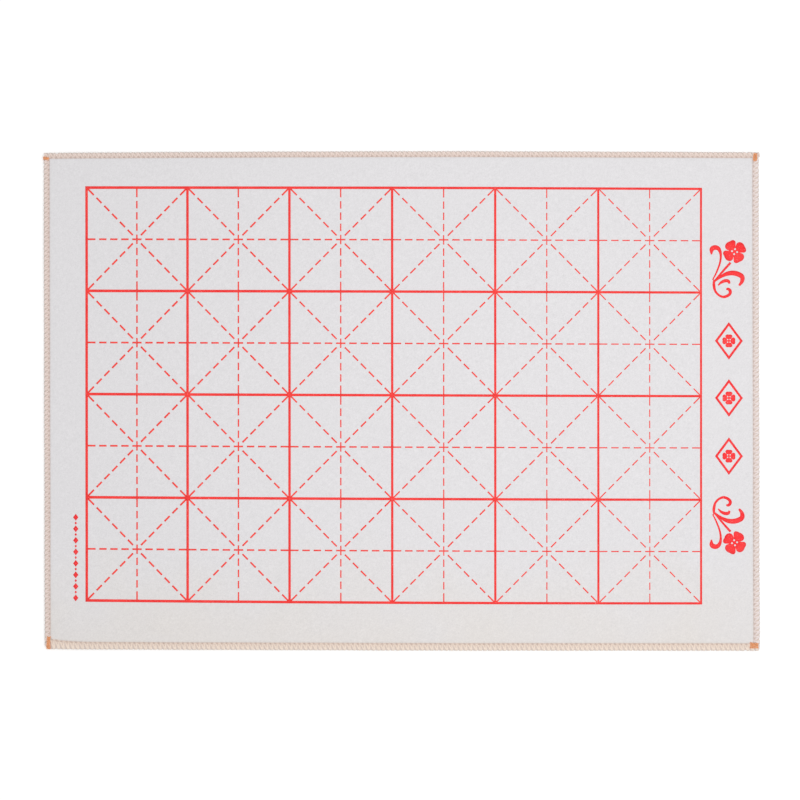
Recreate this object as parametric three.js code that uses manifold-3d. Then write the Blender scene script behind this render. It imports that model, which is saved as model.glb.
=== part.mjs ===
// Calligraphy felt mat: one sheet of needle-punched felt. Three-thread overlock stitching binds
// each of its four sides, a few tight stitches lock each corner, and a practice grid with two
// flower scrolls is printed in red on its upper face.
// Millimetres, +Z up, +X along the long side. The origin is the middle of the underside.

import * as THREE from 'three';
import { mergeVertices } from 'three/addons/utils/BufferGeometryUtils.js';
import loadManifold from 'manifold-3d';

// Felt sheet. The stitching draws its margin down to a thin rim at half the height.
const feltLength = 698.3;
const feltWidth = 486.3;
const feltThickness = 3;
const rimThickness = 0.6;
const pinchWidth = 10.5;
const cornerRadius = 3;
const cornerSteps = 2;

// Overlock stitching. A loop's depth runs from the rim inwards, and its reach outwards.
const threadWidth = 0.45;
const seatGap = 0.1;
const loopReach = 0.35;
const loopDepthFront = 5.3;
const loopDepthRight = 4.35;
const loopDepthBack = 3.75;
const loopDepthLeft = 3.9;
const stitchPitch = 4.75;

// Corner locks: tight parallel stitches over each corner. An odd count ends at the rim.
const lockLegs = 5;
const lockPitch = 1;
const lockInset = 0.9;
const lockClearance = 1;

// Printed grid. Its margins run from the felt's edges to the middle of the outer lines.
const inkThickness = 0.1;
const cellLength = 100.2;
const cellWidth = 101.4;
const gridLine = 2.3;
const gridMarginLeft = 41.3;
const gridMarginFront = 46.1;
const gridMarginBack = 34;
const scrollStrip = 55;

// Printed flower scrolls, one above and one below the middle of the strip beside the grid
const scrollInset = 44.2;
const scrollSpread = 113.6;
const scrollMiddle = 4.2;
const stepsPerPoint = 2;
const blossomOffset = [20.4, 28.6];
const blossomRadius = 11.3;
const blossomCleft = 5;
const blossomNotch = 0.6;
const blossomTurn = THREE.MathUtils.degToRad(35);
const petalLean = 0.22;
const petals = 4;
const petalSteps = 6;
const stamenCircle = 2.5;
const stamenRadius = 1;
const stamenSteps = 3;

// Strokes of one scroll, from its root: each point is x, y and the width of the stroke there.
const scrollStrokes = [
  [[-0.6, 0.6, 0.9], [2.8, 8.4, 1.3], [6.2, 18, 1.5], [6.8, 26, 2.1], [4.8, 31.2, 3.5],
    [1.1, 32.5, 4.3], [-1.9, 30.6, 4], [-2.2, 25.7, 0.8]],
  [[0.2, -1, 1.2], [8.5, 8.8, 1.7], [16.5, 17.8, 2]],
  [[0.2, -1.2, 1], [7.2, 4.1, 2.4], [14.2, 7.2, 3.8], [21, 7.4, 4.5], [27.2, 4.6, 4.4], [27.8, 0, 3.4],
    [24.8, -4.6, 1.6]],
  [[0.4, -7.8, 0.6], [6.4, -2.4, 1.9], [11.2, 0, 2.8], [14.3, -0.4, 2.7], [15.5, -2.8, 1.4]],
  [[0.4, 1, 1.4], [0.2, -4.4, 2.4], [1.6, -10.2, 1.9], [5.4, -14.3, 1.8], [10, -15.8, 2.2],
    [14.9, -13.7, 2.5], [16.3, -10.5, 2.7], [14.4, -8.1, 2.4], [12.3, -8.4, 1.3]],
];

const marginSlope = (feltThickness - rimThickness) / 2 / pinchWidth;
const lockDepth = lockInset + lockLegs * lockPitch;
const runClearance = lockDepth + threadWidth + lockClearance;

const { Manifold, Mesh } = await loadManifold().then((library) => {
  library.setup();
  return library;
});

const feltFinish = () => new THREE.MeshStandardMaterial({ color: 0xe0dedd, roughness: 1, metalness: 0 });
const hemFinish = () => new THREE.MeshStandardMaterial({ color: 0xe9d5c9, roughness: 0.7, metalness: 0 });
const lockFinish = () => new THREE.MeshStandardMaterial({ color: 0xf5a468, roughness: 0.7, metalness: 0 });
const inkFinish = () => new THREE.MeshStandardMaterial({ color: 0xee4142, roughness: 0.9, metalness: 0 });

function toManifold(geometry) {
  const bare = new THREE.BufferGeometry();
  bare.setAttribute('position', geometry.getAttribute('position'));
  bare.setIndex(geometry.getIndex());
  const { index, attributes } = mergeVertices(bare);
  return new Manifold(new Mesh({
    numProp: 3,
    vertProperties: new Float32Array(attributes.position.array),
    triVerts: new Uint32Array(index.array),
  }));
}

function toGeometry(solid) {
  const { vertProperties, triVerts } = solid.getMesh();
  const geometry = new THREE.BufferGeometry();
  geometry.setAttribute('position', new THREE.BufferAttribute(vertProperties, 3));
  geometry.setIndex(new THREE.BufferAttribute(triVerts, 1));
  return geometry;
}

// Closed body through equal loops of points. The loops run counterclockwise for someone who
// looks along the body from its first loop to its last, and both end loops are convex.
function skin(loops) {
  const count = loops[0].length;
  const faces = [];
  for (let i = 0; i + 1 < loops.length; i += 1) {
    for (let k = 0; k < count; k += 1) {
      const next = (k + 1) % count;
      const [a, b] = [i * count + k, i * count + next];
      const [d, c] = [a + count, b + count];
      faces.push(a, d, b, b, d, c);
    }
  }
  const last = (loops.length - 1) * count;
  for (let k = 1; k + 1 < count; k += 1) {
    faces.push(0, k, k + 1);
    faces.push(last, last + k + 1, last + k);
  }
  const geometry = new THREE.BufferGeometry().setFromPoints(loops.flat());
  geometry.setIndex(faces);
  return geometry;
}

// Rectangle with round corners at one height, counterclockwise from above
function roundedLoop(length, width, z) {
  const x = length / 2 - cornerRadius;
  const y = width / 2 - cornerRadius;
  const outline = new THREE.Path();
  outline.absarc(x, -y, cornerRadius, -Math.PI / 2, 0);
  outline.absarc(x, y, cornerRadius, 0, Math.PI / 2);
  outline.absarc(-x, y, cornerRadius, Math.PI / 2, Math.PI);
  outline.absarc(-x, -y, cornerRadius, Math.PI, 1.5 * Math.PI);
  const points = outline.getPoints(cornerSteps);
  return points.map((point) => new THREE.Vector3(point.x, point.y, z));
}

// The sheet: flat in the field, sloping on both faces to the pinched rim
function feltGeometry() {
  const rimTop = (feltThickness + rimThickness) / 2;
  const rimBottom = (feltThickness - rimThickness) / 2;
  const fieldLength = feltLength - 2 * pinchWidth;
  const fieldWidth = feltWidth - 2 * pinchWidth;
  return skin([
    roundedLoop(fieldLength, fieldWidth, feltThickness),
    roundedLoop(feltLength, feltWidth, rimTop),
    roundedLoop(feltLength, feltWidth, rimBottom),
    roundedLoop(fieldLength, fieldWidth, 0),
  ]);
}

// A thread's section is a regular polygon with one flat side, threadWidth long, on the felt.
const threadRadius = (sideCount) => threadWidth / (2 * Math.sin(Math.PI / sideCount));

// Height of a thread's middle over half the felt's thickness, where it lies on the margin
function threadHeight(inset, sideCount) {
  const normalLift = seatGap + threadRadius(sideCount) * Math.cos(Math.PI / sideCount);
  return rimThickness / 2 + marginSlope * inset + normalLift * Math.hypot(1, marginSlope);
}

// Thread along a bent line, mitred at each bend. Its flat side faces away from `up`.
function threadGeometry(points, up, sideCount) {
  const heading = (i) => new THREE.Vector3().subVectors(points[i + 1], points[i]).normalize();
  const along = heading(0);
  const right = new THREE.Vector3().crossVectors(along, up).normalize();
  const above = new THREE.Vector3().crossVectors(right, along);
  const radius = threadRadius(sideCount);
  const start = [];
  for (let k = 0; k < sideCount; k += 1) {
    const angle = -Math.PI / 2 + (2 * k + 1) * Math.PI / sideCount;
    start.push(points[0].clone()
      .addScaledVector(right, radius * Math.cos(angle))
      .addScaledVector(above, radius * Math.sin(angle)));
  }
  const loops = [start];
  for (let i = 1; i < points.length; i += 1) {
    const before = heading(i - 1);
    const after = i + 1 < points.length ? heading(i) : before;
    const mitre = new THREE.Vector3().addVectors(before, after);
    loops.push(loops[i - 1].map((corner) => {
      const travel = new THREE.Vector3().subVectors(points[i], corner).dot(mitre) / before.dot(mitre);
      return corner.clone().addScaledVector(before, travel);
    }));
  }
  return skin(loops);
}

// The needle's and the loopers' threads of one side lie along X, with the rim at y = 0 and the
// felt towards +y.
class OverlockRun {
  constructor({ run, loopDepth }) {
    this.start = runClearance - run / 2;
    this.length = run - 2 * runClearance;
    this.stitches = Math.round(this.length / stitchPitch);
    this.halfStep = this.length / this.stitches / 2;
    this.loopDepth = loopDepth;
  }

  // Zigzag of a looper's thread between the needle line and the rim, on the face above or below
  looper(face) {
    const points = [];
    for (let i = 0; i <= 2 * this.stitches; i += 1) {
      const inset = i % 2 ? this.loopDepth : -loopReach;
      const height = feltThickness / 2 + face * threadHeight(inset, 3);
      points.push(new THREE.Vector3(this.start + i * this.halfStep, inset, height));
    }
    return threadGeometry(points, new THREE.Vector3(0, -face * marginSlope, face), 3);
  }

  // Straight thread of the needle, just inside the tips of the upper loops
  needle() {
    const legLength = Math.hypot(this.halfStep, this.loopDepth + loopReach);
    const tip = threadWidth / 2 * legLength / this.halfStep;
    const inset = this.loopDepth + tip + seatGap + threadWidth / 2;
    const height = feltThickness / 2 + threadHeight(inset, 4);
    const ends = [this.start, this.start + this.length];
    const points = ends.map((x) => new THREE.Vector3(x, inset, height));
    return threadGeometry(points, new THREE.Vector3(0, -marginSlope, 1), 4);
  }
}

// Stitches that lock a corner, which is at the origin with the felt towards +x and +y. They run
// to and fro over the upper face, round the rim, and to and fro over the lower face.
function cornerLockGeometry() {
  const rimAt = (x) => {
    const short = Math.max(cornerRadius - x, 0);
    return cornerRadius - Math.sqrt(cornerRadius ** 2 - short ** 2);
  };
  const route = [];
  for (let leg = 0; leg < lockLegs; leg += 1) {
    const x = lockInset + leg * lockPitch;
    const stops = [[x, lockDepth], [x, Math.max(x, rimAt(x) + threadWidth)], [x, rimAt(x) - loopReach]];
    route.push(...(leg % 2 ? stops.reverse() : stops));
  }
  const onFace = (face) => ([x, y]) => {
    const height = feltThickness / 2 + face * threadHeight(Math.min(x, y), 4);
    return new THREE.Vector3(x, y, height);
  };
  const over = route.map(onFace(1));
  const under = route.map(onFace(-1)).reverse();
  return threadGeometry([...over, ...under], new THREE.Vector3(0, 0, 1), 4);
}

// Film of ink with the outline of a shape
function inkGeometry(shape) {
  const options = { depth: inkThickness, bevelEnabled: false, curveSegments: stamenSteps };
  return new THREE.ExtrudeGeometry(shape, options);
}

// Solid lines of the grid as one lattice. Each way, strips of line and of open cell take turns,
// and ink fills each patch that lies on a line, with a wall wherever it borders on a bare one.
function gridGeometry() {
  const columns = Math.floor((feltLength - gridMarginLeft - scrollStrip) / cellLength);
  const rows = Math.floor((feltWidth - gridMarginFront - gridMarginBack) / cellWidth);
  const lineEdges = (first, cell, count) => Array.from(
    { length: 2 * count + 2 },
    (_, i) => first + Math.floor(i / 2) * cell + (i % 2 - 0.5) * gridLine);
  const x = lineEdges(gridMarginLeft - feltLength / 2, cellLength, columns);
  const y = lineEdges(gridMarginFront - feltWidth / 2, cellWidth, rows);
  const inside = (i, j) => i >= 0 && i < x.length - 1 && j >= 0 && j < y.length - 1;
  const inked = (i, j) => inside(i, j) && (i % 2 === 0 || j % 2 === 0);
  const corners = [];
  const addQuad = (a, b, c, d) => corners.push(a, b, c, a, c, d);
  const at = (i, j, z) => new THREE.Vector3(x[i], y[j], z);
  const addWall = (i, j, iNext, jNext) => addQuad(
    at(i, j, 0), at(iNext, jNext, 0), at(iNext, jNext, inkThickness), at(i, j, inkThickness));
  for (let i = 0; i + 1 < x.length; i += 1) {
    for (let j = 0; j + 1 < y.length; j += 1) {
      if (!inked(i, j)) continue;
      const [east, north, film] = [i + 1, j + 1, inkThickness];
      addQuad(at(i, j, film), at(east, j, film), at(east, north, film), at(i, north, film));
      addQuad(at(i, j, 0), at(i, north, 0), at(east, north, 0), at(east, j, 0));
      if (!inked(i, j - 1)) addWall(i, j, east, j);
      if (!inked(east, j)) addWall(east, j, east, north);
      if (!inked(i, north)) addWall(east, north, i, north);
      if (!inked(i - 1, j)) addWall(i, north, i, j);
    }
  }
  return mergeVertices(new THREE.BufferGeometry().setFromPoints(corners));
}

// Blossom of broad notched petals round a ring of bare dots. From the crest of a petal to the
// clefts beside it the edge falls as a superellipse, and each petal leans to one cleft.
function blossomGeometry(mirror) {
  const edge = [];
  for (let i = 0; i < petals * petalSteps; i += 1) {
    const across = (i % petalSteps) * 2 / petalSteps - 1;
    const share = Math.abs(across + petalLean * (1 - across ** 2));
    const bulge = Math.sqrt(1 - share ** 4);
    const notch = blossomNotch * (1 - share) ** 4;
    const radius = blossomCleft + (blossomRadius - blossomCleft) * bulge - notch;
    const angle = mirror * (blossomTurn + ((i / petalSteps) - 0.5) * 2 * Math.PI / petals);
    edge.push(new THREE.Vector2(radius * Math.cos(angle), radius * Math.sin(angle)));
  }
  const blossom = new THREE.Shape(edge);
  for (let i = 0; i < petals; i += 1) {
    const angle = i * 2 * Math.PI / petals;
    const dot = new THREE.Path();
    dot.absarc(stamenCircle * Math.cos(angle), stamenCircle * Math.sin(angle), stamenRadius, 0, 2 * Math.PI);
    blossom.holes.push(dot);
  }
  return inkGeometry(blossom);
}

// One tapering stroke: a curve through the points, widened to each side
function strokeGeometry(stroke, mirror) {
  const spine = stroke.map(([x, y, width]) => new THREE.Vector3(x, mirror * y, width));
  const steps = stepsPerPoint * (stroke.length - 1);
  const points = new THREE.CatmullRomCurve3(spine).getPoints(steps);
  const left = [];
  const right = [];
  points.forEach((point, i) => {
    const behind = points[Math.max(i - 1, 0)];
    const ahead = points[Math.min(i + 1, steps)];
    const side = new THREE.Vector2(behind.y - ahead.y, ahead.x - behind.x).setLength(point.z / 2);
    left.push(new THREE.Vector2(point.x + side.x, point.y + side.y));
    right.unshift(new THREE.Vector2(point.x - side.x, point.y - side.y));
  });
  return inkGeometry(new THREE.Shape([...left, ...right]));
}

// All strokes of a scroll, grown together at its root
function scrollGeometry(mirror) {
  const strokes = scrollStrokes.map((stroke) => toManifold(strokeGeometry(stroke, mirror)));
  return toGeometry(Manifold.union(strokes));
}

function addPiece(parent, name, geometry, finish) {
  geometry.computeVertexNormals();
  const mesh = new THREE.Mesh(geometry, finish);
  mesh.name = name;
  parent.add(mesh);
  return mesh;
}

// Each side in turn, with the corner at its start, as seen with that side towards the viewer
const sides = [
  { name: 'front', corner: 'front_left', run: feltLength, rim: feltWidth / 2, turn: 0,
    loopDepth: loopDepthFront },
  { name: 'right', corner: 'front_right', run: feltWidth, rim: feltLength / 2, turn: Math.PI / 2,
    loopDepth: loopDepthRight },
  { name: 'back', corner: 'back_right', run: feltLength, rim: feltWidth / 2, turn: Math.PI,
    loopDepth: loopDepthBack },
  { name: 'left', corner: 'back_left', run: feltWidth, rim: feltLength / 2, turn: -Math.PI / 2,
    loopDepth: loopDepthLeft },
];

function buildHem(side) {
  const hem = new THREE.Group();
  hem.rotation.z = side.turn;
  const overlock = new OverlockRun(side);
  const threads = {
    needle_thread: overlock.needle(),
    upper_looper_thread: overlock.looper(1),
    lower_looper_thread: overlock.looper(-1),
  };
  for (const [name, geometry] of Object.entries(threads)) {
    addPiece(hem, `${name}_${side.name}`, geometry, hemFinish()).position.y = -side.rim;
  }
  const lock = addPiece(hem, `corner_lock_${side.corner}`, cornerLockGeometry(), lockFinish());
  lock.position.set(-side.run / 2, -side.rim, 0);
  return hem;
}

function buildPrint() {
  const print = new THREE.Group();
  print.position.z = feltThickness;
  addPiece(print, 'printed_grid', gridGeometry(), inkFinish());
  for (const [name, mirror] of [['back', 1], ['front', -1]]) {
    const [x, y] = [feltLength / 2 - scrollInset, scrollMiddle + mirror * scrollSpread];
    const [blossomX, blossomY] = blossomOffset;
    const scroll = addPiece(print, `printed_scroll_${name}`, scrollGeometry(mirror), inkFinish());
    scroll.position.set(x, y, 0);
    const blossom = addPiece(print, `printed_blossom_${name}`, blossomGeometry(mirror), inkFinish());
    blossom.position.set(x + blossomX, y + mirror * blossomY, 0);
  }
  return print;
}

const mat = new THREE.Group();
addPiece(mat, 'felt_sheet', feltGeometry(), feltFinish());
mat.add(...sides.map(buildHem));
mat.add(buildPrint());

export default mat;
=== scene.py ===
"""Calligraphy felt mat: needle-punched felt with an overlocked hem and a red practice print.

Lengths are millimetres, and MM turns them to metres where Blender takes them.
"""

import logging
import math
from collections.abc import Sequence
from dataclasses import dataclass
from enum import Enum

import bmesh
import bpy
import numpy as np
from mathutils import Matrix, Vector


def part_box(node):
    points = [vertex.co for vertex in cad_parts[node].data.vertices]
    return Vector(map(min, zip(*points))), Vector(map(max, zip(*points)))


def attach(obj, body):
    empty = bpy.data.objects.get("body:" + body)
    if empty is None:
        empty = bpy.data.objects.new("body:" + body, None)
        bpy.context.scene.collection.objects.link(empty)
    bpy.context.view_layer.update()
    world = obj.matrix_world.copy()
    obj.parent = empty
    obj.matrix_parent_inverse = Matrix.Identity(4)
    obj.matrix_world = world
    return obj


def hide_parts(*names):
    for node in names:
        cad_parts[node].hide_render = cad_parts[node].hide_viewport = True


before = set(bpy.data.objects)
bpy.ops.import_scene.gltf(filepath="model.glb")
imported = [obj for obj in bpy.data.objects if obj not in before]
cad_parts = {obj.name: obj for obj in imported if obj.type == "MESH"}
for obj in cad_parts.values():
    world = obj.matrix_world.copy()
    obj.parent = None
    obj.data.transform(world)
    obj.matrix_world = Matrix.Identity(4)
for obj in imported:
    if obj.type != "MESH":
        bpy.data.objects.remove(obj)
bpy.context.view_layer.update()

MM = 0.001
ROOT = "root"
TAU = 2 * math.pi
LOG = logging.getLogger("felt_mat")
Values = np.ndarray | float


def linear(hex_colour: str) -> tuple[float, float, float, float]:
    """Turn an sRGB hex colour to linear light by the standard's curve.

    Args:
        hex_colour: six hex digits after a hash sign.

    Returns:
        Red, green, blue and an alpha of one.
    """
    parts = [int(hex_colour[i:i + 2], 16) / 255 for i in (1, 3, 5)]
    light = [c / 12.92 if c <= 0.04045 else ((c + 0.055) / 1.055) ** 2.4 for c in parts]
    return (*light, 1.0)


def add_node(tree: bpy.types.NodeTree, kind: str, inputs: dict | None = None,
             **settings: object) -> bpy.types.Node:
    """Add a node with its settings and links.

    Args:
        tree: the node tree that takes the node.
        kind: the node's type.
        inputs: for each input's name or number, a value to set or an output to link from.
        settings: the node's own properties.

    Returns:
        The new node.
    """
    node = tree.nodes.new(kind)
    for name, value in settings.items():
        setattr(node, name, value)
    for name, value in (inputs or {}).items():
        if isinstance(value, bpy.types.NodeSocket):
            tree.links.new(value, node.inputs[name])
        else:
            node.inputs[name].default_value = value
    return node


def new_material(name: str) -> tuple[bpy.types.Material, bpy.types.NodeTree]:
    """Make an empty node material.

    Args:
        name: the material's name.

    Returns:
        The material and its node tree.
    """
    material = bpy.data.materials.new(name)
    material.use_nodes = True
    material.node_tree.nodes.clear()
    return material, material.node_tree


def in_millimetres(box: Sequence[Sequence[float]]) -> tuple[np.ndarray, np.ndarray]:
    """Turn a box's lowest and highest corner from metres to millimetres."""
    low, high = box
    return np.array(low) / MM, np.array(high) / MM


def smooth_rise(low: Values, high: Values, values: np.ndarray) -> np.ndarray:
    """Rise from 0 at low to 1 at high along a cubic that is level at both ends."""
    t = np.clip((values - low) / (high - low), 0, 1)
    return t * t * (3 - 2 * t)


def grid_quads(rows: int, columns: int, wrap: bool = False) -> np.ndarray:
    """Quads of a grid of points that is stored row by row.

    Args:
        rows: number of rows of points.
        columns: number of points in a row.
        wrap: whether each row closes on itself.

    Returns:
        Four point numbers for each quad.
    """
    row = np.arange(rows - 1)[:, None]
    column = np.arange(columns if wrap else columns - 1)[None, :]
    following = (column + 1) % columns
    corners = (row * columns + column, row * columns + following,
               (row + 1) * columns + following, (row + 1) * columns + column)
    return np.stack(corners, axis=-1).reshape(-1, 4)


def make_piece(name: str, points: np.ndarray, polygons: Sequence[np.ndarray],
               material: bpy.types.Material, uv: np.ndarray | None = None) -> bpy.types.Object:
    """Put computed points and faces into a smooth mesh object at the origin.

    Args:
        name: the piece's name.
        points: places in millimetres, one row each.
        polygons: arrays of faces; a row's negative numbers are left out of that face.
        material: the piece's finish.
        uv: one pair for each point, where a pattern follows the surface.

    Returns:
        The new object.
    """
    kept = [faces >= 0 for faces in polygons]
    corners = np.concatenate([faces[keep] for faces, keep in zip(polygons, kept)])
    totals = np.concatenate([keep.sum(axis=1) for keep in kept])
    mesh = bpy.data.meshes.new(name)
    mesh.vertices.add(len(points))
    mesh.vertices.foreach_set("co", (points * MM).astype(np.float32).ravel())
    mesh.loops.add(len(corners))
    mesh.loops.foreach_set("vertex_index", corners.astype(np.int32))
    mesh.polygons.add(len(totals))
    mesh.polygons.foreach_set("loop_start", (np.cumsum(totals) - totals).astype(np.int32))
    if uv is not None:
        layer = mesh.uv_layers.new(name="UVMap")
        layer.data.foreach_set("uv", uv[corners].astype(np.float32).ravel())
    mesh.update(calc_edges=True)
    mesh.validate()
    mesh.shade_smooth()
    mesh.materials.append(material)
    piece = bpy.data.objects.new(name, mesh)
    bpy.context.scene.collection.objects.link(piece)
    return piece


def add_attribute(piece: bpy.types.Object, name: str, values: np.ndarray) -> None:
    """Give each point of a piece a value that its material reads by name."""
    layer = piece.data.attributes.new(name, "FLOAT", "POINT")
    layer.data.foreach_set("value", values.astype(np.float32))


def register(piece: bpy.types.Object, slot: str, *nodes: str) -> bpy.types.Object:
    """Fix a piece to the mat, name its slot and what it stands for, and report it.

    Args:
        piece: the finished object.
        slot: the record's material slot.
        nodes: the solids that the piece replaces.

    Returns:
        The same piece.
    """
    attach(piece, ROOT)
    if nodes:
        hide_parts(*nodes)
    LOG.info("%s: %d faces, slot %s", piece.name, len(piece.data.polygons), slot)
    return piece


def thread_tube(name: str, path: np.ndarray, lift: np.ndarray, half: tuple[float, float],
                sides: int, material: bpy.types.Material) -> bpy.types.Object:
    """Carry an elliptical section along a path.

    Each ring stands square to the path: half the height times the cosine of the angle round the
    thread along the lift, and half the width times its sine along the cross product of path and
    lift. Both ends are closed.

    Args:
        name: the piece's name.
        path: the points that the thread's middle follows.
        lift: the section's upward direction, one for all points or one for each.
        half: half the thread's height and half its width.
        sides: number of flats round the thread.
        material: the thread's finish.

    Returns:
        The thread, with the length along it and the share of a turn round it as its UV map.
    """
    ahead = np.gradient(path, axis=0)
    ahead /= np.linalg.norm(ahead, axis=1, keepdims=True)
    across = np.cross(ahead, lift)
    across /= np.linalg.norm(across, axis=1, keepdims=True)
    above = np.cross(across, ahead)
    turn = TAU * np.arange(sides) / sides
    tall, wide = half[0] * np.cos(turn), half[1] * np.sin(turn)
    ring = tall[None, :, None] * above[:, None] + wide[None, :, None] * across[:, None]
    points = (path[:, None] + ring).reshape(-1, 3)
    steps = np.linalg.norm(np.diff(path, axis=0), axis=1)
    travelled = np.concatenate([[0], np.cumsum(steps)])
    uv = np.stack(np.broadcast_arrays(travelled[:, None], turn / TAU), axis=-1).reshape(-1, 2)
    start = np.arange(sides)[None, ::-1]
    end = start[:, ::-1] + (len(path) - 1) * sides
    walls = grid_quads(len(path), sides, wrap=True)
    return make_piece(name, points, [walls, start, end], material, uv)


class Side(Enum):
    """Sides of the mat, each with the cosine and sine of its turn from the front."""

    FRONT = (1, 0)
    RIGHT = (0, 1)
    BACK = (-1, 0)
    LEFT = (0, -1)

    @property
    def word(self) -> str:
        """Name of the side in node names."""
        return self.name.lower()

    @property
    def is_long(self) -> bool:
        """Whether the side runs along the mat's length."""
        return self in (Side.FRONT, Side.BACK)

    def turned(self, along: Values, inward: Values) -> tuple[Values, Values]:
        """Turn directions or places given along and into this side to x and y."""
        cosine, sine = self.value
        return cosine * along - sine * inward, sine * along + cosine * inward

    def direction(self, along: Values, inward: Values, up: Values) -> np.ndarray:
        """Stack directions given along, into and up from this side as x, y and z."""
        return np.stack([*self.turned(along, inward), up], axis=-1)


class Face(Enum):
    """The two faces of the felt, with the sign of their height."""

    UPPER = 1
    LOWER = -1

    @property
    def word(self) -> str:
        """Name of the face in node names."""
        return self.name.lower()


# The corner at which each side starts.
CORNERS = {Side.FRONT: "front_left", Side.RIGHT: "front_right",
           Side.BACK: "back_right", Side.LEFT: "back_left"}


@dataclass(frozen=True)
class NeedledFelt:
    """Needle-punched polyester felt: a dense mat of fine fibres with no weave, dull and pale.

    It gives a faint grain of crossing fibres, a soft lumpiness and a slight sheen at the rim. Fuzz
    of the thread tints it under the hem, darkened there as painted shade between the loops, and
    painted shade darkens it in the gaps between the loops at the rim and near the needle line. It
    is a little warmer towards the front. Real fibres are 0.03 mm thick; they are drawn as coarse
    as they need to show.
    """

    pale: str = "#EAE8EA"
    shaded: str = "#D8D6D8"
    # Warmer tone towards the front.
    front_warmth: str = "#FFFBF3"
    # Fuzz of the thread under the hem, darkened as painted shade between the loops.
    fuzz_and_shade: str = "#E6D6CC"
    # Painted shade in the gaps between the loops and near the needle line.
    painted_shade: str = "#8F7E75"
    fibre_length: float = 5.0
    fibre_width: float = 0.6
    fibre_angles: tuple[float, ...] = (15, 75, 135)
    fibre_relief: float = 0.35
    lump: float = 7.0
    cloud: float = 60.0
    front_warmth_from: float = -80.0
    front_warmth_to: float = -240.0
    front_warmth_drift: float = 120.0

    def grain(self, tree: bpy.types.NodeTree, place: bpy.types.NodeSocket) -> bpy.types.NodeSocket:
        """Add fibres that cross at a few angles.

        Args:
            tree: the material's node tree.
            place: Object coordinates.

        Returns:
            The sum of the stretched noises, one for each angle.
        """
        lengthways, crossways = 1 / (self.fibre_length * MM), 1 / (self.fibre_width * MM)
        layers = []
        for angle in self.fibre_angles:
            turned = add_node(tree, "ShaderNodeMapping", {
                "Vector": place, "Rotation": (0, 0, math.radians(angle))})
            stretched = add_node(tree, "ShaderNodeMapping", {
                "Vector": turned.outputs[0], "Scale": (lengthways, crossways, crossways)})
            noise = add_node(tree, "ShaderNodeTexNoise", {
                "Vector": stretched.outputs[0], "Scale": 1.0, "Detail": 2.0, "Roughness": 0.6})
            layers.append(noise.outputs[0])
        total = layers[0]
        for layer in layers[1:]:
            added = add_node(tree, "ShaderNodeMath", {0: total, 1: layer}, operation="ADD")
            total = added.outputs[0]
        return total

    def material(self) -> bpy.types.Material:
        """Build the felt's material.

        Returns:
            The material, which reads the attributes for the fuzz tint and the painted shade.
        """
        material, tree = new_material("needle_punched_felt")
        place = add_node(tree, "ShaderNodeTexCoord").outputs["Object"]
        fibres = self.grain(tree, place)
        share = add_node(tree, "ShaderNodeMapRange", {
            "Value": fibres, "From Min": 1.0, "From Max": 2.0})
        tint = add_node(tree, "ShaderNodeMix", {
            "Factor": share.outputs[0], "A": linear(self.shaded), "B": linear(self.pale)},
            data_type="RGBA")
        # Warmer towards the front, along a border that wanders with a cloud noise.
        cloud = add_node(tree, "ShaderNodeTexNoise", {
            "Vector": place, "Scale": 1 / (self.cloud * MM), "Detail": 2.0})
        across = add_node(tree, "ShaderNodeSeparateXYZ", {0: place}).outputs[1]
        drift = add_node(tree, "ShaderNodeMath", {
            0: cloud.outputs[0], 1: self.front_warmth_drift * MM, 2: across}, operation="MULTIPLY_ADD")
        front_warmth_share = add_node(tree, "ShaderNodeMapRange", {
            "Value": drift.outputs[0], "From Min": self.front_warmth_from * MM,
            "From Max": self.front_warmth_to * MM})
        tint = add_node(tree, "ShaderNodeMix", {
            "Factor": front_warmth_share.outputs[0], "A": tint.outputs["Result"], "B": linear(self.front_warmth)},
            data_type="RGBA", blend_type="MULTIPLY")
        # Fuzz tint with its painted shade under the hem, then painted shade in the gaps between the
        # loops.
        for name, colour in (("fuzz_and_shade", self.fuzz_and_shade), ("painted_shade", self.painted_shade)):
            amount = add_node(tree, "ShaderNodeAttribute", attribute_name=name).outputs["Fac"]
            tint = add_node(tree, "ShaderNodeMix", {
                "Factor": amount, "A": tint.outputs["Result"], "B": linear(colour)},
                data_type="RGBA")
        lumps = add_node(tree, "ShaderNodeTexNoise", {
            "Vector": place, "Scale": 1 / (self.lump * MM), "Detail": 3.0})
        relief = add_node(tree, "ShaderNodeMath", {
            0: fibres, 1: self.fibre_relief, 2: lumps.outputs[0]}, operation="MULTIPLY_ADD")
        bump = add_node(tree, "ShaderNodeBump", {
            "Height": relief.outputs[0], "Strength": 0.35, "Distance": 0.5 * MM})
        shader = add_node(tree, "ShaderNodeBsdfPrincipled", {
            "Base Color": tint.outputs["Result"], "Normal": bump.outputs[0], "Roughness": 0.95,
            "IOR": 1.5, "Specular IOR Level": 0.2, "Sheen Weight": 0.1, "Sheen Roughness": 0.6})
        add_node(tree, "ShaderNodeOutputMaterial", {"Surface": shader.outputs[0]})
        return material


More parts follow.
